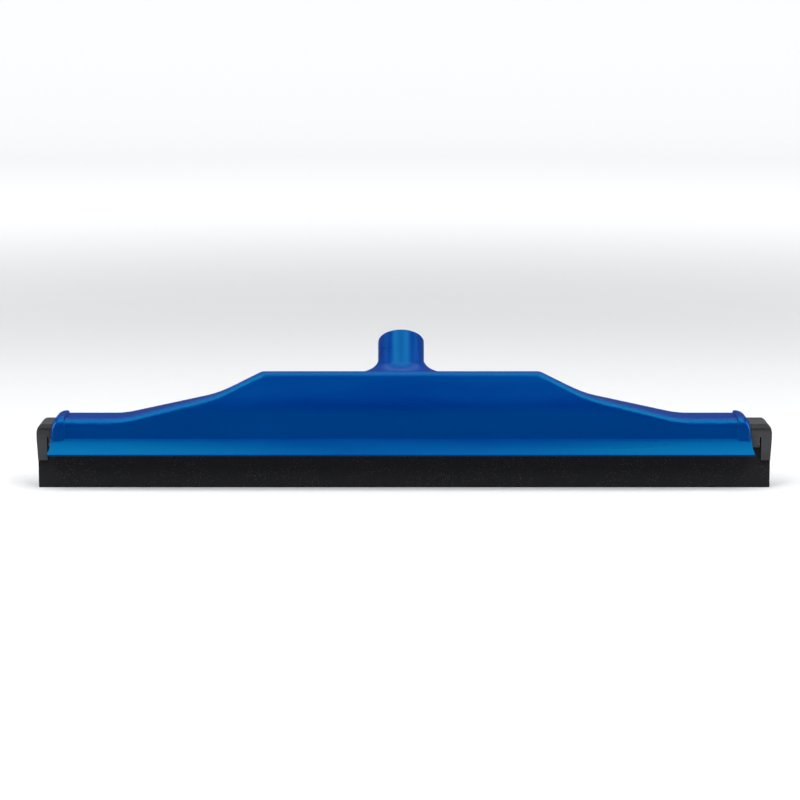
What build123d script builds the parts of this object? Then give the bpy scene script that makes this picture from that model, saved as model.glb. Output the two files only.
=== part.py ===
from build123d import *
from math import cos, radians, sin, sqrt, tan
import os

# Floor squeegee head: a hollow moulded frame with a leaning handle socket, and a cassette
# of two foam blades that slides out of the frame lengthwise when its end tongues are pressed.
# Millimetres. X runs along the blades, +Y points to the back, +Z up. The origin is on the
# floor, under the middle of the whole head. In the sections below, u is the distance
# behind the middle plane between the two blades, and z is the height above the floor.

# Lengths along X
frame_length = 480.0
cassette_play = 2.2  # how far the cassette can shift either way before a latch nub stops it
crest_length = 190.8  # flat top in the middle of the frame
shoulder_run = 31.5  # steep part beside the crest
wing_length = 49.0  # flat part at each end
bead_length = 9.8  # rolled lip at each end of the frame

# Blades, cassette rail and end caps
blade_thickness = 5.6
blade_gap = 8.2
blade_free = 28.0  # blade height below the rail
blade_grip = 10.4  # blade height held in the rail
blade_end_taper = 1.1
blade_seat_gap = 0.2
rail_wall = 1.8
rail_web = 3.4
grip_space = 0.7  # between a blade and the rail's outer leg, bridged by the grip ridges
ridge_bite = 0.2
ridge_width = 1.4
ridge_count = 3
head_thickness = 3.0
head_overlap = 1.4  # how far the T-head reaches past the rail's legs
cap_length = 30.0
cap_wall = 1.5
cap_wall_inset = 0.8
cap_wall_reach = 1.0
cap_leg_reach = 8.5  # how far the cap's legs hang below the rail's
cap_leg_width = 5.8
cap_corner_x = 5.0
cap_corner_z = 7.5
cap_wall_taper = 0.9
spigot_length = 12.0
spigot_block = 3.0
spigot_gap = 0.15

# Latch tongues
tongue_width = 10.4
tongue_height = 6.4
tongue_thickness = 1.3
tongue_gap = 0.4
hinge_gap = 0.1
slot_width = 1.1
nub_height = 1.0
nub_length = 1.2
nub_rise = 1.6
nub_draft = 0.3
nub_above_tip = 1.0
nub_stop_gap = 0.15

# Frame section
slide_gap = 0.4
ledge_gap = 0.5
wing_roof = 3.3
panel_wall = 3.8
cavity_wall = 3.0
panel_draft = 0.5
skirt_height = 11.5
skirt_flare = 7.0
skirt_below_channel = 4.1
skirt_lip = 2.0
cove_sag = 0.6
end_flare = 2.5
panel_bend_rise = 9.8  # from the wing's top up to the bend of the front panel
panel_bend_radius = 35.0
panel_lean = 20.0
crest_rise = 32.1
crest_back_slope = 10.3
shoulder_drop = 16.3
crest_corner_radius = 8.0
shoulder_bend_radius = 70.0
top_edge_radius = 5.0
bead_height = 1.8
bead_side = 0.8
bead_corner_x = 8.2
bead_corner_z = 8.5
bead_corner_radius = 6.4
bead_end_radius = 3.2
bead_root_radius = 1.4
bead_steps = 5
end_inset = 1.2
lip_round = 0.8
rib_pitch = 36.0
rib_thickness = 2.0
rib_pairs = 5

# Handle socket
socket_diameter = 32.0
socket_bore = 24.0
socket_lean = 40.0
socket_length = 50.0
socket_bore_depth = 42.0
socket_setback = 2.0  # from the middle plane to the socket's front, at the crest
socket_reach = 32.6  # length of the socket's front above the crest
flare_radius = 9.4
flare_side = 17.0
flare_front = 5.5
flare_rear = 4.0
flare_sink = 0.3
flare_steps = 8
rim_round = 1.0
root_drop = 24.0
root_half_width = 10.0
root_half_depth = 6.0

# Heights above the floor
rail_bottom = blade_free
blade_top = blade_free + blade_grip
slot_top = blade_top + blade_seat_gap
head_bottom = slot_top + rail_web
head_top = head_bottom + head_thickness
channel_roof = head_top + slide_gap
ledge_top = head_bottom - ledge_gap
wing_top = channel_roof + wing_roof
skirt_bottom = rail_bottom - skirt_below_channel
skirt_top = skirt_bottom + skirt_height
crest_top = wing_top + crest_rise
panel_bend = wing_top + panel_bend_rise
cap_leg_bottom = rail_bottom - cap_leg_reach
cap_wall_bottom = cap_leg_bottom - cap_wall_reach

# Half widths from the middle plane
blade_inner = blade_gap / 2
blade_outer = blade_inner + blade_thickness
spigot_half = blade_inner - rail_wall
leg_inner = blade_outer + grip_space
leg_outer = leg_inner + rail_wall
head_half = leg_outer + head_overlap
throat_half = leg_outer + slide_gap
groove_half = head_half + slide_gap
panel_half = throat_half + panel_wall
skirt_half = panel_half + skirt_flare
bead_half = panel_half + bead_side

# Latch tongue, in the section
hinge_u = leg_outer - tongue_thickness / 2
tongue_bottom = rail_bottom + tongue_gap
hinge_z = tongue_bottom + tongue_height
window_top = hinge_z + tongue_thickness / 2 + hinge_gap
nub_bottom = tongue_bottom + nub_above_tip

# Lengths from the middle. Below its waist, the frame's end flares out on an arc, and a nub
# stands just outside it when the cassette is pushed all the way to one side.
frame_half = frame_length / 2
crest_half = crest_length / 2
shoulder_end = crest_half + shoulder_run
wing_start = frame_half - wing_length
flare_arc = (skirt_height**2 + end_flare**2) / (2 * end_flare)
flare_at_nub = flare_arc - sqrt(flare_arc**2 - (skirt_top - nub_bottom) ** 2)
nub_x = frame_half + flare_at_nub + cassette_play + nub_stop_gap
tongue_end = nub_x + nub_length
tongue_start = tongue_end - tongue_width
leg_start = tongue_end + slot_width
cap_wall_inside = leg_start + cap_leg_width
cassette_half = cap_wall_inside + cap_wall
rail_half = cassette_half - cap_length

# The frame's front edge at the crest, and the socket's axis
edge_u = -panel_half + panel_draft + (crest_top - panel_bend) * tan(radians(panel_lean))
socket_radius = socket_diameter / 2
lean = radians(socket_lean)
front_rim_u = socket_setback + socket_reach * sin(lean)
front_rim_z = crest_top + socket_reach * cos(lean)
mouth_u = front_rim_u + socket_radius * cos(lean)
mouth_z = front_rim_z - socket_radius * sin(lean)
rear_rim_u = mouth_u + socket_radius * cos(lean)

# The middle plane stands in front of the origin, so that the origin is under the middle
# of the head's depth. The frame is shown shifted to the left, against a latch nub.
mid_y = (skirt_half - rear_rim_u) / 2
frame_x = -cassette_play


def across(x):
    # section plane at x: sketch x is u, sketch y is height
    return Plane(origin=(x, mid_y, 0), x_dir=(0, 1, 0), z_dir=(1, 0, 0))


def along(u, x=0.0):
    # plane facing the front at u: sketch x is X from x, sketch y is height
    return Plane(origin=(x, mid_y + u, 0), x_dir=(1, 0, 0), z_dir=(0, -1, 0))


mid_plane = Plane(origin=(0, mid_y, 0), z_dir=(0, 1, 0))


def rise_factor(u):
    # the crest falls towards the back, and the wings stay level
    return 1 - (u - edge_u) * tan(radians(crest_back_slope)) / crest_rise


def top_outline(u, lower_by=0.0):
    # top edge of the frame at u, from the right end of the slope to the left
    crest = wing_top + crest_rise * rise_factor(u) - lower_by
    shoulder = wing_top + (crest_rise - shoulder_drop) * rise_factor(u) - lower_by
    wing = wing_top - lower_by
    right = [(wing_start, wing), (shoulder_end, shoulder), (crest_half, crest)]
    left = [(-x, z) for x, z in reversed(right)]
    return right + left


outline_radii = [shoulder_bend_radius, shoulder_bend_radius, crest_corner_radius]
outline_radii = outline_radii + outline_radii[::-1]

# Frame: body
front_u = -skirt_half - 10
rear_u = skirt_half + 10
with BuildPart() as body:
    with BuildSketch(across(frame_x)):
        with BuildLine():
            lean_top = crest_top + 10
            lean_u = -panel_half + panel_draft + (lean_top - panel_bend) * tan(radians(panel_lean))
            front = FilletPolyline(
                (-panel_half, skirt_top),
                (-panel_half + panel_draft, panel_bend),
                (lean_u, lean_top),
                radius=panel_bend_radius,
            )
            Line(front @ 1, (panel_half, lean_top))
            Line((panel_half, lean_top), (panel_half, skirt_top))
            cove_u = (panel_half + skirt_half) / 2 - cove_sag
            cove_z = (skirt_bottom + skirt_top) / 2
            ThreePointArc((panel_half, skirt_top), (cove_u, cove_z), (skirt_half, skirt_bottom))
            Line((skirt_half, skirt_bottom), (-skirt_half, skirt_bottom))
            ThreePointArc((-skirt_half, skirt_bottom), (-cove_u, cove_z), (-panel_half, skirt_top))
        make_face()
    extrude(amount=frame_half + end_flare, both=True)
    for u in (front_u, rear_u):
        with BuildSketch(along(u, frame_x)):
            with BuildLine():
                top = FilletPolyline(
                    (frame_half - bead_corner_x, wing_top),
                    *top_outline(u),
                    (-frame_half + bead_corner_x, wing_top),
                    radius=outline_radii,
                )
                left_neck = (-frame_half + end_inset, skirt_top + end_inset)
                left_foot = (-frame_half - end_flare, skirt_bottom)
                Polyline(top @ 1, left_neck, (-frame_half, skirt_top))
                RadiusArc((-frame_half, skirt_top), left_foot, flare_arc)
                right_neck = (frame_half - end_inset, skirt_top + end_inset)
                right_foot = (frame_half + end_flare, skirt_bottom)
                Line(left_foot, right_foot)
                RadiusArc(right_foot, (frame_half, skirt_top), flare_arc)
                Polyline((frame_half, skirt_top), right_neck, top @ 0)
            make_face()
    loft(ruled=True, mode=Mode.INTERSECT)

    top_edges = body.edges().filter_by(lambda e: e.center().Z > wing_top - 0.5)
    top_edges = top_edges.filter_by(lambda e: abs(e.tangent_at(0.5).Y) < 0.5)
    bend_lines = top_edges.filter_by(Axis.X).filter_by(GeomType.LINE)
    fillet(top_edges - bend_lines, radius=top_edge_radius)
    lip_edges = body.edges().filter_by(Axis.X).group_by(Axis.Z)[0]
    fillet(lip_edges, radius=lip_round)


def end_bead(side):
    # rolled lip around the frame's right (1) or left (-1) end; towards the end its top falls
    # on an ellipse and its sides close in on an arc
    foot = skirt_bottom + skirt_lip + 1
    bead_top = wing_top + bead_height
    corner_start = frame_half - bead_corner_x

    def arch(x, half, top):
        with BuildSketch(across(frame_x + side * x)) as section:
            with BuildLine():
                line = FilletPolyline(
                    (half, foot), (half, top), (-half, top), (-half, foot), radius=bead_corner_radius
                )
                Line(line @ 1, line @ 0)
            make_face()
        return section.sketch

    arches = []
    for step in range(bead_steps + 1):
        turn = radians(90) * step / bead_steps
        x = corner_start + bead_corner_x * sin(turn)
        top = bead_top - bead_corner_z * (1 - cos(turn))
        into_end = max(0, x - (frame_half - bead_end_radius))
        half = bead_half - bead_end_radius + sqrt(bead_end_radius**2 - into_end**2)
        arches.append(arch(x, half, top))
    with BuildPart() as tip:
        loft(arches)

    with BuildPart() as bead:
        extrude(arch(frame_half - bead_length, bead_half, bead_top), side * (bead_length - bead_corner_x))
        ends = bead.faces().sort_by(Axis.X)
        root = ends[0] if side > 0 else ends[-1]
        fillet(root.edges().filter_by(lambda e: e.center().Z > foot + 1), bead_root_radius)
        add(tip.part)
    return bead.part


# Frame: handle socket with its flared foot
socket_dir = Vector(0, sin(lean), cos(lean))
mouth = Vector(frame_x, mid_y + mouth_u, mouth_z)
mouth_plane = Plane(origin=mouth, x_dir=(1, 0, 0), z_dir=socket_dir)
crest_slope = radians(crest_back_slope)
crest_normal = Vector(0, sin(crest_slope), cos(crest_slope))
crest_point = Vector(frame_x, mid_y + edge_u, crest_top)
to_crest = (mouth - crest_point).dot(crest_normal) / socket_dir.dot(crest_normal)
socket_foot = mouth - socket_dir * to_crest
tilt = lean - crest_slope


def flare_ellipse(turn):
    # one slice of the socket's foot, parallel to the crest, at an angle along its hollow curve
    spread = 1 - sin(turn)
    height = flare_radius * (1 - cos(turn)) - flare_sink
    wide = socket_radius + flare_side * spread - flare_sink / 2
    front = socket_radius / cos(tilt) + flare_front * spread - flare_sink / 2
    rear = socket_radius / cos(tilt) + flare_rear * spread - flare_sink / 2
    centre = socket_foot + socket_dir * (height / cos(tilt))
    place = Plane(origin=centre, x_dir=(1, 0, 0), z_dir=crest_normal)
    return place, (0, (rear - front) / 2), wide, (front + rear) / 2


with BuildPart() as flare:
    for step in range(flare_steps + 1):
        place, shift, wide, deep = flare_ellipse(radians(90) * step / flare_steps)
        with BuildSketch(place):
            with Locations(shift):
                Ellipse(wide, deep)
    loft()

with BuildPart() as socket_root:
    place, shift, wide, deep = flare_ellipse(0)
    with BuildSketch(place):
        with Locations(shift):
            Ellipse(wide, deep)
    with BuildSketch(Plane.XY.offset(crest_top - root_drop)):
        with Locations((frame_x, socket_foot.Y - root_half_width)):
            Ellipse(root_half_width, root_half_depth)
    loft()

with BuildPart() as socket:
    with BuildSketch(mouth_plane):
        Circle(socket_radius)
    extrude(amount=-socket_length)
    fillet(socket.edges().sort_by(Axis.Z)[-1], rim_round)
    add(flare.part)
    add(socket_root.part)

with BuildPart() as socket_hole:
    with BuildSketch(mouth_plane):
        Circle(socket_bore / 2)
    extrude(amount=-socket_bore_depth)
    with BuildSketch(mouth_plane):
        Circle(socket_bore / 2 + rim_round)
    with BuildSketch(mouth_plane.offset(-rim_round)):
        Circle(socket_bore / 2)
    loft()

# Frame: hollow above the cassette channel
cavity_half = wing_start - cavity_wall
cavity_u = panel_half - cavity_wall
with BuildPart() as cavity:
    with BuildSketch(across(frame_x)):
        with BuildLine():
            Polyline(
                (-cavity_u, channel_roof),
                (-cavity_u + panel_draft, panel_bend),
                (lean_u + cavity_wall, lean_top),
                (cavity_u, lean_top),
                (cavity_u, channel_roof),
                close=True,
            )
        make_face()
    extrude(amount=cavity_half, both=True)
    for u in (front_u, rear_u):
        with BuildSketch(along(u, frame_x)):
            with BuildLine():
                under = FilletPolyline(
                    (frame_half, wing_top - cavity_wall),
                    *top_outline(u, lower_by=cavity_wall),
                    (-frame_half, wing_top - cavity_wall),
                    radius=outline_radii,
                )
                Polyline(under @ 1, (-frame_half, skirt_top), (frame_half, skirt_top), under @ 0)
            make_face()
    loft(ruled=True, mode=Mode.INTERSECT)
    rib_places = [side * (i + 0.5) * rib_pitch for i in range(rib_pairs) for side in (1, -1)]
    with Locations(*[(frame_x + x, mid_y, crest_top) for x in rib_places]):
        Box(rib_thickness, 2 * panel_half, 2 * crest_top, mode=Mode.SUBTRACT)
    add(socket.part, mode=Mode.SUBTRACT)

with BuildPart() as frame:
    add(body.part)
    add(socket.part)
    add([end_bead(1), end_bead(-1)])
    add(cavity.part.solids(), mode=Mode.SUBTRACT)
    add(socket_hole.part, mode=Mode.SUBTRACT)
    # channel for the cassette, open at the bottom and at both ends
    with BuildSketch(across(frame_x)):
        with BuildLine():
            Polyline(
                (-groove_half, channel_roof),
                (groove_half, channel_roof),
                (groove_half, ledge_top),
                (throat_half, ledge_top),
                (throat_half, rail_bottom + skirt_lip / 4),
                (skirt_half - skirt_lip, skirt_bottom),
                (-skirt_half + skirt_lip, skirt_bottom),
                (-throat_half, rail_bottom + skirt_lip / 4),
                (-throat_half, ledge_top),
                (-groove_half, ledge_top),
                close=True,
            )
        make_face()
    extrude(amount=frame_half + end_flare, both=True, mode=Mode.SUBTRACT)


def comb_half():
    # half of the rail's section, on the +u side: T-head, web, inner leg and outer leg
    Polyline(
        (0, slot_top),
        (0, head_top),
        (head_half, head_top),
        (head_half, head_bottom),
        (leg_outer, head_bottom),
        (leg_outer, rail_bottom),
        (leg_inner, rail_bottom),
        (leg_inner, slot_top),
        (blade_inner, slot_top),
        (blade_inner, rail_bottom),
        (spigot_half, rail_bottom),
        (spigot_half, slot_top),
        close=True,
    )


# Cassette rail: extruded comb with a slot for each blade, and teeth that bite into the blade
ridge_pitch = blade_grip / ridge_count
with BuildPart() as cassette_rail:
    with BuildSketch(across(0)):
        with BuildLine():
            comb_half()
        make_face()
        for i in range(ridge_count):
            ridge_z = rail_bottom + (i + 0.5) * ridge_pitch
            with BuildLine():
                Polyline(
                    (leg_inner + rail_wall / 4, ridge_z + ridge_width / 2),
                    (blade_outer - ridge_bite, ridge_z),
                    (leg_inner + rail_wall / 4, ridge_z - ridge_width / 2),
                    close=True,
                )
            make_face()
        mirror(about=Plane.YZ)
    extrude(amount=rail_half, both=True)


def blade(side):
    # foam strip on the back (1) or front (-1) side; its lower part runs on under the caps
    top_end = cap_wall_inside - blade_seat_gap
    step_z = cap_wall_bottom - blade_seat_gap
    low_end = cap_wall_inside + cap_wall / 2
    with BuildPart() as strip:
        with BuildSketch(along(side * (blade_inner + blade_outer) / 2)):
            with BuildLine():
                Polyline(
                    (0, 0),
                    (low_end - blade_end_taper, 0),
                    (low_end, step_z),
                    (top_end, step_z),
                    (top_end, blade_top),
                    (0, blade_top),
                    close=True,
                )
            make_face()
            mirror(about=Plane.YZ)
        extrude(amount=blade_thickness / 2, both=True)
    return strip.part


with BuildPart() as front_blade:
    add(blade(-1))

with BuildPart() as rear_blade:
    add(blade(1))

# End caps: the right one is drawn, and the left one is its mirror image
with BuildPart() as right_end_cap:
    # sleeve with the rail's own section
    with BuildSketch(across(rail_half)):
        with BuildLine():
            comb_half()
        make_face()
        mirror(about=Plane.YZ)
    extrude(amount=cap_wall_inside - rail_half)
    # deep legs beside the end wall
    with BuildSketch(across(leg_start)):
        for side in (1, -1):
            with Locations((side * (leg_inner + leg_outer) / 2, (cap_leg_bottom + slot_top) / 2)):
                Rectangle(rail_wall, slot_top - cap_leg_bottom)
    extrude(amount=cap_leg_width)
    # end wall, set in behind the legs and the head
    with BuildSketch(across(cap_wall_inside)):
        with Locations((0, (cap_wall_bottom + head_bottom) / 2)):
            Rectangle(2 * (leg_outer - cap_wall_inset), head_bottom - cap_wall_bottom)
        with Locations((0, (head_bottom + head_top) / 2)):
            Rectangle(2 * (head_half - cap_wall_inset), head_thickness)
    extrude(amount=cap_wall)
    # block between the inner legs, and the spigot on it that plugs into the rail
    spigot_z = (rail_bottom + slot_top) / 2
    with BuildSketch(across(rail_half)):
        with Locations((0, spigot_z)):
            Rectangle(2 * spigot_half, blade_grip + blade_seat_gap)
    extrude(amount=spigot_block)
    with BuildSketch(across(rail_half)):
        with Locations((0, spigot_z)):
            Rectangle(2 * (spigot_half - spigot_gap), blade_grip - spigot_gap)
    extrude(amount=-spigot_length)
    # windows for the tongues, open at the bottom
    with BuildSketch(across(tongue_start - tongue_gap)):
        for side in (1, -1):
            with Locations((side * (leg_inner + leg_outer) / 2, (rail_bottom + window_top) / 2)):
                Rectangle(1.1 * rail_wall, window_top - rail_bottom)
    extrude(amount=leg_start - tongue_start + tongue_gap, mode=Mode.SUBTRACT)
    # rounded outer corner of the head
    with BuildSketch(along(0)):
        with BuildLine():
            corner = (cassette_half - cap_corner_x, head_top - cap_corner_z)
            EllipticalCenterArc(corner, cap_corner_x, cap_corner_z, start_angle=0, arc_size=90)
            Polyline(
                (cassette_half - cap_corner_x, head_top),
                (0, head_top),
                (0, cap_wall_bottom),
                (cassette_half - cap_wall_taper, cap_wall_bottom),
                (cassette_half, rail_bottom + tongue_height),
                (cassette_half, head_top - cap_corner_z),
            )
        make_face()
    extrude(amount=2 * head_half, both=True, mode=Mode.INTERSECT)

with BuildPart() as left_end_cap:
    mirror(right_end_cap.part, about=Plane.YZ)


def latch_tongue():
    # spring tongue of the right cap's front leg; it turns about its round top edge
    with BuildPart() as tongue:
        with BuildSketch(across(tongue_start)):
            with Locations((-hinge_u, tongue_bottom + tongue_height / 2)):
                Rectangle(tongue_thickness, tongue_height)
            with Locations((-hinge_u, hinge_z)):
                Circle(tongue_thickness / 2)
        extrude(amount=tongue_width)
        # nub that stops against the frame's end
        with BuildSketch(across(nub_x)):
            with BuildLine():
                Polyline(
                    (-hinge_u, nub_bottom),
                    (-leg_outer - nub_height, nub_bottom + nub_draft),
                    (-leg_outer - nub_height, nub_bottom + nub_rise - nub_draft),
                    (-hinge_u, nub_bottom + nub_rise),
                    close=True,
                )
            make_face()
        extrude(amount=nub_length)
    return tongue.part


nodes = {
    "frame": frame.part,
    "cassette_rail": cassette_rail.part,
    "front_blade": front_blade.part,
    "rear_blade": rear_blade.part,
    "right_end_cap": right_end_cap.part,
    "left_end_cap": left_end_cap.part,
}
for side_name, flips in (("right", []), ("left", [Plane.YZ])):
    for depth_name, turns in (("front", []), ("rear", [mid_plane])):
        with BuildPart() as latch:
            shape = latch_tongue()
            for plane in flips + turns:
                shape = mirror(shape, about=plane, mode=Mode.PRIVATE)
            add(shape)
        nodes[f"{side_name}_{depth_name}_latch"] = latch.part

os.makedirs("parts", exist_ok=True)
for name, part in nodes.items():
    part.label = name
    export_step(part, f"parts/{name}.step")
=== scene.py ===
import math

import bmesh
import bpy
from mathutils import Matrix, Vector


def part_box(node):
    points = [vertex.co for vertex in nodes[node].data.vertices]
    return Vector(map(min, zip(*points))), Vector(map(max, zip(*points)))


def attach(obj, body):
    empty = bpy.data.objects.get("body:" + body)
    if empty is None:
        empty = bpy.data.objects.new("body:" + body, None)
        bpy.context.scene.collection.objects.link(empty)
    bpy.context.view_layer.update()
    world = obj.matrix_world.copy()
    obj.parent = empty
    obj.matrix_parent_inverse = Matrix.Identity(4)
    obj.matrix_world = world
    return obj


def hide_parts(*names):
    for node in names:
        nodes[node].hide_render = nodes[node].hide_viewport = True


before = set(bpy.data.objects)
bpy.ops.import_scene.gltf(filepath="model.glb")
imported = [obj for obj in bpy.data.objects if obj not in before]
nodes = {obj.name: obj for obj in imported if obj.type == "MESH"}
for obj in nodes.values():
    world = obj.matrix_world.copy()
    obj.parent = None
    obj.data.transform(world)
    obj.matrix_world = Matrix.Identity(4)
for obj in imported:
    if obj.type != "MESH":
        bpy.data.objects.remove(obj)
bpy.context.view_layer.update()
mm = 0.001
print("frame loaded:", len(nodes), "parts")


# Node helpers

def link(tree, source, target):
    tree.links.new(source, target)


def addNode(tree, kind, inputs=None, **settings):
    # a node with its settings; an input is a value, or an output socket to link from
    node = tree.nodes.new(kind)
    for name, value in settings.items():
        setattr(node, name, value)
    for name, value in (inputs or {}).items():
        if isinstance(value, bpy.types.NodeSocket):
            link(tree, value, node.inputs[name])
        else:
            node.inputs[name].default_value = value
    return node


def ramp(tree, factor, low, high):
    # 0 below low, 1 above high, smooth in between
    node = addNode(tree, "ShaderNodeMapRange", {"Value": factor, "From Min": low, "From Max": high})
    node.interpolation_type = "SMOOTHSTEP"
    return node.outputs["Result"]


def mathNode(tree, operation, first, second):
    return addNode(tree, "ShaderNodeMath", {0: first, 1: second}, operation=operation).outputs[0]


def mixColours(tree, factor, first, second):
    node = addNode(tree, "ShaderNodeMix", data_type="RGBA")
    for socket, value in ((node.inputs[0], factor), (node.inputs[6], first), (node.inputs[7], second)):
        if isinstance(value, bpy.types.NodeSocket):
            link(tree, value, socket)
        else:
            socket.default_value = value
    return node.outputs[2]


def newGroup(name, inputs, outputs):
    group = bpy.data.node_groups.new(name, "ShaderNodeTree")
    for label, kind, value in inputs:
        socket = group.interface.new_socket(label, in_out="INPUT", socket_type=kind)
        if value is not None:
            socket.default_value = value
    for label, kind in outputs:
        group.interface.new_socket(label, in_out="OUTPUT", socket_type=kind)
    return group, group.nodes.new("NodeGroupInput"), group.nodes.new("NodeGroupOutput")


def groupNode(tree, group, inputs):
    node = tree.nodes.new("ShaderNodeGroup")
    node.node_tree = group
    for name, value in inputs.items():
        if isinstance(value, bpy.types.NodeSocket):
            link(tree, value, node.inputs[name])
        else:
            node.inputs[name].default_value = value
    return node


def newMaterial(name, shader):
    # a material with its Principled BSDF set; returns it with its tree and shader
    material = bpy.data.materials.new(name)
    material.use_nodes = True
    tree = material.node_tree
    bsdf = tree.nodes["Principled BSDF"]
    for key, value in shader.items():
        bsdf.inputs[key].default_value = value
    return material, tree, bsdf


def setRoughness(tree, bsdf, factor, low, high):
    # roughness from low to high as the factor goes from 0 to 1
    rough = addNode(
        tree, "ShaderNodeMapRange", {"Value": factor, "To Min": low, "To Max": high}
    )
    link(tree, rough.outputs["Result"], bsdf.inputs["Roughness"])


def setRelief(tree, bsdf, height, depth, strength=1.0):
    bump = addNode(
        tree, "ShaderNodeBump", {"Height": height, "Distance": depth, "Strength": strength}
    )
    link(tree, bump.outputs["Normal"], bsdf.inputs["Normal"])


# Shared effects; scales are per metre

skinMarks = {
    "grainDetail": 2.0,
    "flowStretch": (8.0, 30.0, 45.0),
    "flowDetail": 3.0,
    "flowDistortion": 0.6,
    "flowRange": (0.3, 0.7),
}


def makeMouldedSkin():
    # fine spark-eroded grain of a moulding, with faint sink and flow marks
    group, given, out = newGroup(
        "mouldedSkin",
        [("Grain Size", "NodeSocketFloat", 0.4), ("Flow", "NodeSocketFloat", 1.0)],
        [("Height", "NodeSocketFloat"), ("Flow", "NodeSocketFloat")],
    )
    place = addNode(group, "ShaderNodeTexCoord").outputs["Object"]
    # the grain size is given in millimetres
    grainScale = mathNode(group, "DIVIDE", 1 / mm, given.outputs["Grain Size"])
    grain = addNode(
        group,
        "ShaderNodeTexNoise",
        {"Vector": place, "Scale": grainScale, "Detail": skinMarks["grainDetail"]},
    )
    stretch = addNode(
        group, "ShaderNodeMapping", {"Vector": place, "Scale": skinMarks["flowStretch"]}
    )
    flow = addNode(
        group,
        "ShaderNodeTexNoise",
        {
            "Vector": stretch.outputs[0],
            "Scale": 1.0,
            "Detail": skinMarks["flowDetail"],
            "Distortion": skinMarks["flowDistortion"],
        },
    )
    flowMask = ramp(group, flow.outputs["Fac"], *skinMarks["flowRange"])
    flowHeight = mathNode(group, "MULTIPLY", flowMask, given.outputs["Flow"])
    link(group, mathNode(group, "ADD", grain.outputs["Fac"], flowHeight), out.inputs["Height"])
    link(group, flowMask, out.inputs["Flow"])
    return group


scuffMarks = {
    # turn and stretch of each direction of scratches
    "directions": ((0.5, (90.0, 90.0, 2600.0)), (-0.9, (2200.0, 90.0, 70.0))),
    "tilt": 0.2,
    "scratchRange": (0.66, 0.72),
    "patchScale": 45.0,
    "patchRange": (0.5, 0.68),
}


def makeScuffs():
    # short thin scratches in two directions, in patches
    group, given, out = newGroup(
        "scuffs", [("Amount", "NodeSocketFloat", 0.3)], [("Mask", "NodeSocketFloat")]
    )
    place = addNode(group, "ShaderNodeTexCoord").outputs["Object"]
    masks = []
    for turn, stretch in scuffMarks["directions"]:
        turned = addNode(
            group,
            "ShaderNodeMapping",
            {"Vector": place, "Rotation": (scuffMarks["tilt"], turn, 0.0), "Scale": stretch},
        )
        streaks = addNode(
            group,
            "ShaderNodeTexNoise",
            {"Vector": turned.outputs[0], "Scale": 1.0, "Detail": 1.0},
        )
        masks.append(ramp(group, streaks.outputs["Fac"], *scuffMarks["scratchRange"]))
    patches = addNode(
        group,
        "ShaderNodeTexNoise",
        {"Vector": place, "Scale": scuffMarks["patchScale"], "Detail": 2.0},
    )
    wornAndHighlighted = ramp(group, patches.outputs["Fac"], *scuffMarks["patchRange"])
    both = mathNode(group, "MAXIMUM", masks[0], masks[1])
    held = mathNode(group, "MULTIPLY", both, wornAndHighlighted)
    link(group, mathNode(group, "MULTIPLY", held, given.outputs["Amount"]), out.inputs["Mask"])
    return group


edgeWearAndHighlightMarks = {"turnRange": (0.02, 0.2), "breakScale": 180.0, "breakRange": (0.35, 0.6)}


def makeEdgeWearAndHighlight():
    # 1 on sharp outer edges, broken up so that it isn't a drawn line; it is wear on the black
    # mouldings and a painted highlight on the blue one
    group, given, out = newGroup(
        "edgeWearAndHighlight", [("Width", "NodeSocketFloat", 0.5 * mm)], [("Mask", "NodeSocketFloat")]
    )
    rounded = addNode(group, "ShaderNodeBevel", {"Radius": given.outputs["Width"]}, samples=4)
    flat = addNode(group, "ShaderNodeNewGeometry").outputs["Normal"]
    dot = addNode(
        group, "ShaderNodeVectorMath", {0: rounded.outputs[0], 1: flat}, operation="DOT_PRODUCT"
    )
    turned = mathNode(group, "SUBTRACT", 1.0, dot.outputs["Value"])
    edge = ramp(group, turned, *edgeWearAndHighlightMarks["turnRange"])
    place = addNode(group, "ShaderNodeTexCoord").outputs["Object"]
    breaks = addNode(
        group,
        "ShaderNodeTexNoise",
        {"Vector": place, "Scale": edgeWearAndHighlightMarks["breakScale"], "Detail": 3.0},
    )
    broken = ramp(group, breaks.outputs["Fac"], *edgeWearAndHighlightMarks["breakRange"])
    link(group, mathNode(group, "MULTIPLY", edge, broken), out.inputs["Mask"])
    return group


mouldedSkin = makeMouldedSkin()
scuffs = makeScuffs()
edgeWearAndHighlight = makeEdgeWearAndHighlight()
print("shared effects built")


# Materials

bluePlastic = {
    "deep": (0.0, 0.03, 0.25, 1.0),
    "pale": (0.0, 0.038, 0.275, 1.0),
    # edge: painted highlight, a paler cyan laid along the sharp outer edges where the light catches
    # them
    "edge": (0.01, 0.18, 0.46, 1.0),
    "roughness": (0.27, 0.34),
    "grainSize": 0.35,
    "grainDepth": 0.004 * mm,
    "flow": 0.25,
    "edgeWidth": 0.6 * mm,
    "edgeStrength": 0.35,
    "shader": {
        "Specular IOR Level": 0.55,
        "Specular Tint": (0.0, 0.95, 1.0, 1.0),
    },
}


def makeBluePlastic(settings):
    material, tree, bsdf = newMaterial("bluePolypropylene", settings["shader"])
    skin = groupNode(
        tree, mouldedSkin, {"Grain Size": settings["grainSize"], "Flow": settings["flow"]}
    )
    # here the edge mask paints a cyan highlight onto the outer edges of the blue moulding; it is not
    # wear
    wearAndHighlight = groupNode(tree, edgeWearAndHighlight, {"Width": settings["edgeWidth"]})
    body = mixColours(tree, skin.outputs["Flow"], settings["deep"], settings["pale"])
    wornAndHighlighted = mathNode(tree, "MULTIPLY", wearAndHighlight.outputs["Mask"], settings["edgeStrength"])
    link(tree, mixColours(tree, wornAndHighlighted, body, settings["edge"]), bsdf.inputs["Base Color"])
    setRoughness(tree, bsdf, skin.outputs["Flow"], *settings["roughness"])
    setRelief(tree, bsdf, skin.outputs["Height"], settings["grainDepth"])
    return material


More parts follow.
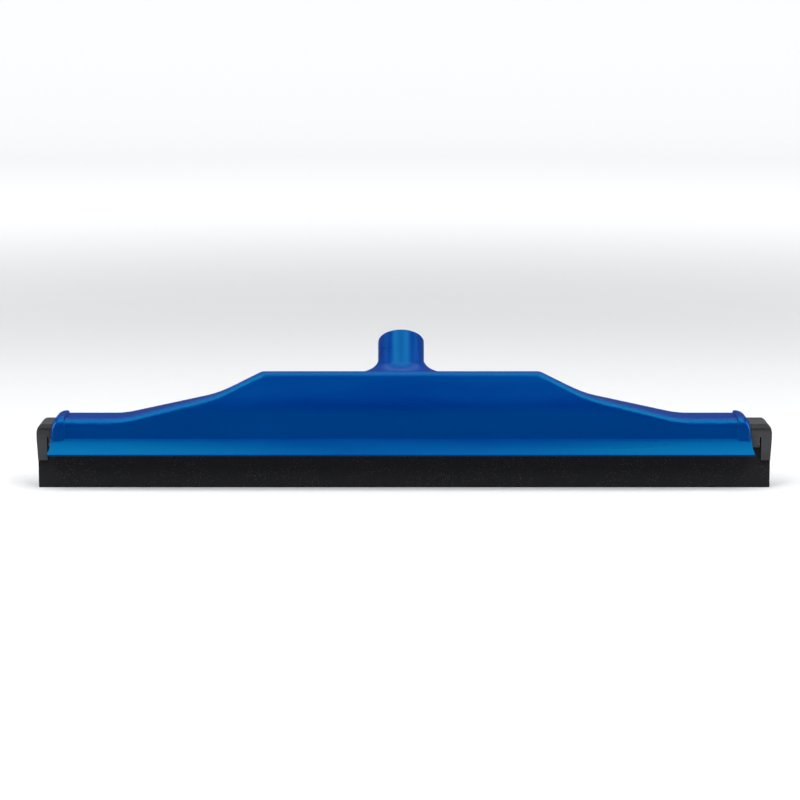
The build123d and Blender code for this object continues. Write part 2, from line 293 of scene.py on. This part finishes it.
blackPlastic = {
    "dark": (0.036, 0.037, 0.039, 1.0),
    "light": (0.07, 0.071, 0.073, 1.0),
    "edge": (0.26, 0.26, 0.26, 1.0),
    "roughness": (0.4, 0.55),
    "grainSize": 0.3,
    "grainDepth": 0.006 * mm,
    "flow": 0.8,
    "scuffs": 0.8,
    "edgeWidth": 0.4 * mm,
    "wearStrength": 0.5,
    "shader": {"Specular IOR Level": 0.5},
}


def makeBlackPlastic(name, settings):
    material, tree, bsdf = newMaterial(name, settings["shader"])
    skin = groupNode(
        tree, mouldedSkin, {"Grain Size": settings["grainSize"], "Flow": settings["flow"]}
    )
    marks = groupNode(tree, scuffs, {"Amount": settings["scuffs"]})
    wearAndHighlight = groupNode(tree, edgeWearAndHighlight, {"Width": settings["edgeWidth"]})
    body = mixColours(tree, skin.outputs["Flow"], settings["dark"], settings["light"])
    wornAndHighlighted = mathNode(tree, "MAXIMUM", wearAndHighlight.outputs["Mask"], marks.outputs["Mask"])
    wornAndHighlighted = mathNode(tree, "MULTIPLY", wornAndHighlighted, settings["wearStrength"])
    link(tree, mixColours(tree, wornAndHighlighted, body, settings["edge"]), bsdf.inputs["Base Color"])
    setRoughness(tree, bsdf, skin.outputs["Flow"], *settings["roughness"])
    setRelief(tree, bsdf, skin.outputs["Height"], settings["grainDepth"])
    return material


foamRubber = {
    "dark": (0.009, 0.009, 0.01, 1.0),
    "light": (0.017, 0.017, 0.018, 1.0),
    "speck": (0.17, 0.17, 0.172, 1.0),
    "roughness": (0.62, 0.85),
    "cellScale": 1500.0,
    "cellRange": (0.1, 0.5),
    "cellDepth": 0.12 * mm,
    "bumpStrength": 0.8,
    "mottleScale": 420.0,
    "mottleRange": (0.35, 0.65),
    "dustScale": 900.0,
    "dustRange": (0.08, 0.22),
    "patchScale": 60.0,
    "patchRange": (0.34, 0.56),
    "shader": {"Specular IOR Level": 0.35},
}


def makeFoamRubber(settings):
    # cut cellular rubber: small open cells, a few pale specks of dust
    material, tree, bsdf = newMaterial("foamRubber", settings["shader"])
    place = addNode(tree, "ShaderNodeTexCoord").outputs["Object"]
    cells = addNode(
        tree,
        "ShaderNodeTexVoronoi",
        {"Vector": place, "Scale": settings["cellScale"], "Randomness": 1.0},
    )
    coarse = addNode(
        tree,
        "ShaderNodeTexNoise",
        {"Vector": place, "Scale": settings["mottleScale"], "Detail": 4.0},
    )
    patches = addNode(
        tree,
        "ShaderNodeTexNoise",
        {"Vector": place, "Scale": settings["patchScale"], "Detail": 3.0},
    )
    mottle = ramp(tree, coarse.outputs["Fac"], *settings["mottleRange"])
    body = mixColours(tree, mottle, settings["dark"], settings["light"])
    dust = addNode(
        tree, "ShaderNodeTexVoronoi", {"Vector": place, "Scale": settings["dustScale"]}
    )
    clear = ramp(tree, dust.outputs["Distance"], *settings["dustRange"])
    specks = mathNode(tree, "SUBTRACT", 1.0, clear)
    dusty = ramp(tree, patches.outputs["Fac"], *settings["patchRange"])
    shownSpecks = mathNode(tree, "MULTIPLY", specks, dusty)
    link(tree, mixColours(tree, shownSpecks, body, settings["speck"]), bsdf.inputs["Base Color"])
    setRoughness(tree, bsdf, mottle, *settings["roughness"])
    pits = ramp(tree, cells.outputs["Distance"], *settings["cellRange"])
    height = mathNode(tree, "ADD", pits, coarse.outputs["Fac"])
    setRelief(tree, bsdf, height, settings["cellDepth"], settings["bumpStrength"])
    return material


blueMaterial = makeBluePlastic(bluePlastic)
capMaterial = makeBlackPlastic("capPlastic", blackPlastic)
railMaterial = makeBlackPlastic("railPlastic", {**blackPlastic, "scuffs": 0.3, "grainSize": 0.5})
foamMaterial = makeFoamRubber(foamRubber)
print("materials built")


# Pieces

softEdges = {
    "mergeWithin": 0.002 * mm,
    "flatWithin": 1.0,  # degrees
    "sharpFrom": 32.0,  # degrees, on a part as it was drawn
    "sharpAfter": 60.0,  # degrees, once its edges are eased
    "segments": 2,
}


def finishPiece(bm, name, material, body, replaced, sharpFrom):
    # the mesh becomes a piece of its body: smooth, but crisp where it turns past sharpFrom
    for face in bm.faces:
        face.smooth = True
    mesh = bpy.data.meshes.new(name)
    bm.to_mesh(mesh)
    bm.free()
    kept = mesh.attributes.get("custom_normal")
    if kept:
        mesh.attributes.remove(kept)
    mesh.materials.clear()
    mesh.materials.append(material)
    piece = bpy.data.objects.new(name, mesh)
    bpy.context.scene.collection.objects.link(piece)
    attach(piece, body)
    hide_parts(replaced)
    mesh.set_sharp_from_angle(angle=math.radians(sharpFrom))
    piece.modifiers.new("flatFaces", "WEIGHTED_NORMAL").keep_sharp = True
    return piece


def mergedCopy(node):
    # the node's triangles, joined at their corners
    bm = bmesh.new()
    bm.from_mesh(nodes[node].data)
    bmesh.ops.remove_doubles(bm, verts=bm.verts, dist=softEdges["mergeWithin"])
    return bm


def easeEdges(bm, edges, rounding):
    # small rounds along the given edges
    bmesh.ops.bevel(
        bm,
        geom=edges,
        offset=rounding,
        offset_type="OFFSET",
        affect="EDGES",
        segments=softEdges["segments"],
        profile=0.5,
        material=-1,
        clamp_overlap=True,
    )


def smoothCopy(node, material, body):
    # a copy of a moulding as it was drawn, smooth over its fillets and crisp at its corners
    bm = mergedCopy(node)
    finishPiece(bm, node + "_moulding", material, body, node, softEdges["sharpFrom"])


def softenedCopy(node, material, body, rounding):
    # a copy of a moulded part, with its sharp edges eased
    bm = mergedCopy(node)
    bmesh.ops.dissolve_limit(
        bm, angle_limit=math.radians(softEdges["flatWithin"]), verts=bm.verts, edges=bm.edges
    )
    turn = math.radians(softEdges["sharpFrom"])
    sharp = [e for e in bm.edges if len(e.link_faces) == 2 and e.calc_face_angle() > turn]
    easeEdges(bm, sharp, rounding)
    finishPiece(bm, node + "_moulding", material, body, node, softEdges["sharpAfter"])


smoothCopy("frame", blueMaterial, "frame")
print("frame covered")

caps = {"rounding": 0.25 * mm}
for side in ("right", "left"):
    softenedCopy(side + "_end_cap", capMaterial, "cassette", caps["rounding"])
    for depth in ("front", "rear"):
        latch = f"{side}_{depth}_latch"
        softenedCopy(latch, capMaterial, latch, caps["rounding"])
print("end caps and tongues softened")

rail = {"rounding": 0.15 * mm}
softenedCopy("cassette_rail", railMaterial, "cassette", rail["rounding"])
print("rail softened")

foamStrip = {
    "edgeRound": 0.45 * mm,
    "seatGap": 0.2 * mm,
    "capWall": 1.7 * mm,  # from the cap's outer face to the strip's upper end
}


def foamBlade(node):
    # a strip cut from foam sheet: its outline is drawn, given its thickness, and rounded
    low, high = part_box(node)
    capLow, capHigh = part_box("right_end_cap")
    stepHeight = capLow.z - foamStrip["seatGap"]
    upperEnd = capHigh.x - foamStrip["capWall"]
    outline = (
        (-high.x, 0.0),
        (high.x, 0.0),
        (high.x, stepHeight),
        (upperEnd, stepHeight),
        (upperEnd, high.z),
        (-upperEnd, high.z),
        (-upperEnd, stepHeight),
        (-high.x, stepHeight),
    )
    bm = bmesh.new()
    corners = [bm.verts.new((x, low.y, z)) for x, z in outline]
    face = bm.faces.new(corners)
    side = bmesh.ops.extrude_face_region(bm, geom=[face])["geom"]
    moved = [g for g in side if isinstance(g, bmesh.types.BMVert)]
    bmesh.ops.translate(bm, vec=(0, high.y - low.y, 0), verts=moved)
    bmesh.ops.recalc_face_normals(bm, faces=bm.faces)
    return bm


for name in ("front_blade", "rear_blade"):
    bm = foamBlade(name)
    easeEdges(bm, list(bm.edges), foamStrip["edgeRound"])
    piece = finishPiece(
        bm, name + "_foam", foamMaterial, "cassette", name, softEdges["sharpAfter"]
    )
print("foam blades cut")


# Floor, lights and camera

studio = {
    "floorRadius": 4.0,
    "coveRadius": 0.7,
    "coveSteps": 12,
    "turnSteps": 96,
    "floorColour": (0.86, 0.87, 0.88, 1.0),
    "reflectedColour": (0.38, 0.39, 0.4, 1.0),  # the floor as the gloss of the object sees it
    "worldColour": (0.9, 0.93, 1.0, 1.0),
    "worldStrength": 0.1,
    "paleFrom": 0.7,  # where the paper starts to glow to the camera, so that it stays pale
    "paleTo": 2.4,
    "paleGlow": 0.9,
}


def makeStudioBowl(settings):
    # a seamless round backdrop: a flat floor with a low hollow cove round it
    radius, cove = settings["floorRadius"], settings["coveRadius"]
    bm = bmesh.new()
    profile = [bm.verts.new((0, 0, 0)), bm.verts.new((radius - cove, 0, 0))]
    for step in range(1, settings["coveSteps"] + 1):
        turn = math.radians(90 * step / settings["coveSteps"])
        profile.append(
            bm.verts.new((radius - cove + cove * math.sin(turn), 0, cove - cove * math.cos(turn)))
        )
    edges = [bm.edges.new(pair) for pair in zip(profile, profile[1:])]
    bmesh.ops.spin(
        bm,
        geom=profile + edges,
        axis=(0, 0, 1),
        cent=(0, 0, 0),
        dvec=(0, 0, 0),
        angle=math.tau,
        steps=settings["turnSteps"],
        use_merge=True,
        use_duplicate=False,
    )
    bmesh.ops.remove_doubles(bm, verts=bm.verts, dist=0.01 * mm)
    bmesh.ops.recalc_face_normals(bm, faces=bm.faces)
    for face in bm.faces:
        face.smooth = True
    mesh = bpy.data.meshes.new("studioBowl")
    bm.to_mesh(mesh)
    bm.free()
    bowl = bpy.data.objects.new("studioBowl", mesh)
    bpy.context.scene.collection.objects.link(bowl)
    material, tree, bsdf = newMaterial(
        "studioPaper",
        {"Roughness": 0.9, "Emission Color": settings["floorColour"]},
    )
    place = addNode(tree, "ShaderNodeTexCoord").outputs["Object"]
    away = addNode(tree, "ShaderNodeVectorMath", {0: place}, operation="LENGTH").outputs["Value"]
    far = ramp(tree, away, settings["paleFrom"], settings["paleTo"])
    seen = addNode(tree, "ShaderNodeLightPath").outputs["Is Camera Ray"]
    paper = mixColours(tree, seen, settings["reflectedColour"], settings["floorColour"])
    link(tree, paper, bsdf.inputs["Base Color"])
    glow = mathNode(tree, "MULTIPLY", mathNode(tree, "MULTIPLY", far, seen), settings["paleGlow"])
    link(tree, glow, bsdf.inputs["Emission Strength"])
    mesh.materials.append(material)


makeStudioBowl(studio)

world = bpy.data.worlds.new("studioSky")
world.use_nodes = True
sky = world.node_tree.nodes["Background"]
sky.inputs["Color"].default_value = studio["worldColour"]
seen = addNode(world.node_tree, "ShaderNodeLightPath").outputs["Is Camera Ray"]
brightness = addNode(
    world.node_tree,
    "ShaderNodeMapRange",
    {"Value": seen, "To Min": studio["worldStrength"], "To Max": studio["paleGlow"]},
)
link(world.node_tree, brightness.outputs["Result"], sky.inputs["Strength"])
bpy.context.scene.world = world

lightAim = Vector((0, 0, 0.05))
softboxes = {
    # azimuth from the front, elevation, distance, width, height, power
    "leftSideBox": (-86.0, 16.0, 1.6, 0.8, 0.9, 11.0),
    "rightSideBox": (86.0, 16.0, 1.6, 0.8, 0.9, 11.0),
    "leftTopBox": (-34.0, 50.0, 1.8, 0.8, 0.9, 11.0),
    "rightTopBox": (34.0, 50.0, 1.8, 0.8, 0.9, 11.0),
    "ceilingBox": (0.0, 87.0, 1.9, 2.6, 0.9, 20.0),
    "rearTopBox": (180.0, 55.0, 2.0, 2.4, 0.6, 6.0),
}
for name, (azimuth, elevation, distance, width, height, power) in softboxes.items():
    light = bpy.data.lights.new(name, "AREA")
    light.shape = "RECTANGLE"
    light.size, light.size_y, light.energy = width, height, power
    lamp = bpy.data.objects.new(name, light)
    bpy.context.scene.collection.objects.link(lamp)
    a, e = math.radians(azimuth), math.radians(elevation)
    away = Vector((math.sin(a) * math.cos(e), -math.cos(a) * math.cos(e), math.sin(e)))
    lamp.location = lightAim + away * distance
    lamp.rotation_euler = away.to_track_quat("Z", "Y").to_euler()

camera = {
    "elevation": 9.0,
    "distance": 1.9,
    "widthAtFront": 0.5516,  # how much of the blade's front plane the picture spans
    "aimX": -2.9 * mm,
    "aimUp": 60.2 * mm,
    "sensorWidth": 36.0,
}
elevation = math.radians(camera["elevation"])
frontEdge = Vector((camera["aimX"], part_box("front_blade")[0].y, 0.0))
upward = Vector((0, math.sin(elevation), math.cos(elevation)))
back = Vector((0, -math.cos(elevation), math.sin(elevation)))
lens = bpy.data.cameras.new("productCamera")
lens.sensor_width = camera["sensorWidth"]
lens.lens = camera["sensorWidth"] * camera["distance"] / camera["widthAtFront"]
viewer = bpy.data.objects.new("productCamera", lens)
bpy.context.scene.collection.objects.link(viewer)
viewer.location = frontEdge + upward * camera["aimUp"] + back * camera["distance"]
viewer.rotation_euler = back.to_track_quat("Z", "Y").to_euler()
bpy.context.scene.camera = viewer
bpy.context.scene.view_settings.view_transform = "Standard"
print("stage, lights and camera set")
